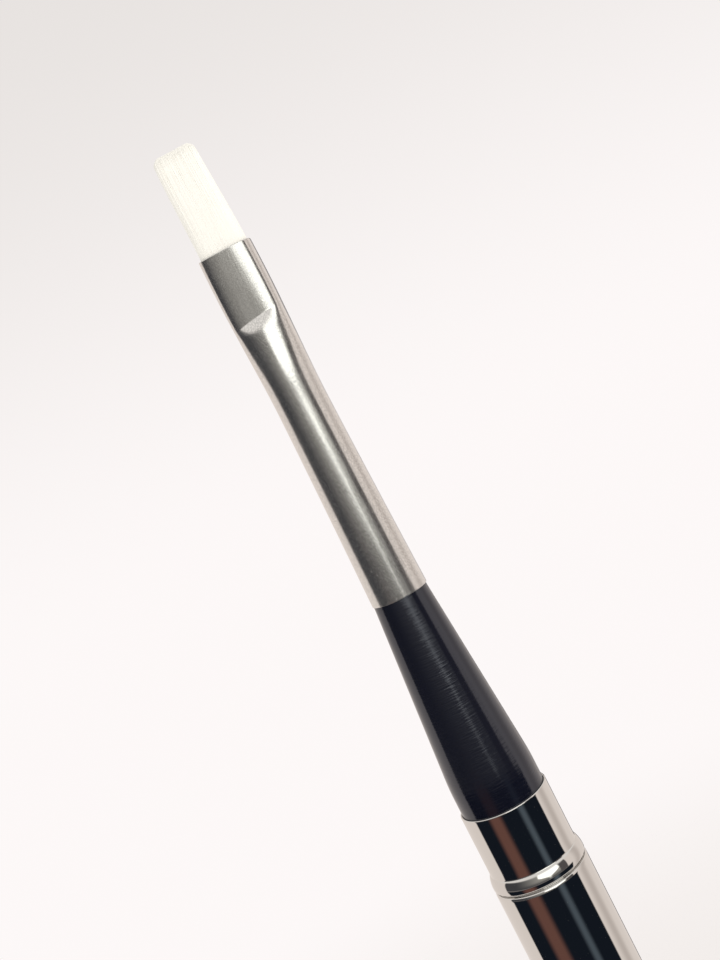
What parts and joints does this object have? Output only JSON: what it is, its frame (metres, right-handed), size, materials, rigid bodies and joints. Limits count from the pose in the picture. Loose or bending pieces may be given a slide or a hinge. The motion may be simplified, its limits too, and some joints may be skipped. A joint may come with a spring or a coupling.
{
  "type": "flat travel paint brush",
  "caption": "Flat artist's brush with white synthetic hair in a pressed ferrule, on a black neck whose plated collar pulls out of a tube barrel.",
  "frame": {"origin": "centre of the butt, the lowest point of the brush when it stands on its barrel", "axes": "+Z along the brush axis towards the hair tip; X is the wide direction of the pressed ferrule and the hair; Y is square to its flat faces"},
  "size_m": [0.0092, 0.0092, 0.1564],
  "materials": {
    "plated_barrel": "bright nickel plate on brass, mirror polished",
    "plated_butt": "bright nickel plate on brass, mirror polished",
    "plated_collar": "bright nickel plate on brass, mirror polished",
    "black_plug": "moulded, fine satin",
    "black_neck": "turned and polished, fine turning lines",
    "nickel_ferrule": "satin nickel, fine grain from drawing and tumbling",
    "cured_resin": "cast, uneven",
    "binding_thread": "twisted polyester thread",
    "white_hair": "fine tapered nylon filament, soft sheen"
  },
  "bodies": {
    "barrel": {"barrel_tube": "plated_barrel", "barrel_end_plug": "plated_butt"},
    "head": {"collar": "plated_collar", "collar_plug": "black_plug", "neck": "black_neck", "ferrule": "nickel_ferrule", "resin_set": "cured_resin", "tuft_binding": "binding_thread", "hair_root": "white_hair"},
    "hair": {"hair_tuft": "white_hair"}
  },
  "joints": [
    {"name": "head_pull", "type": "slide", "parent": "barrel", "child": "head", "axis": [0, 0, 1], "range_m": [0, 0.016]},
    {"name": "hair_flex", "type": "hinge", "parent": "head", "child": "hair", "pos_m": [0, 0, 0.1482], "axis": [1, 0, 0], "range_deg": [-35, 35], "stiffness_Nm_per_rad": 0.0015}
  ]
}
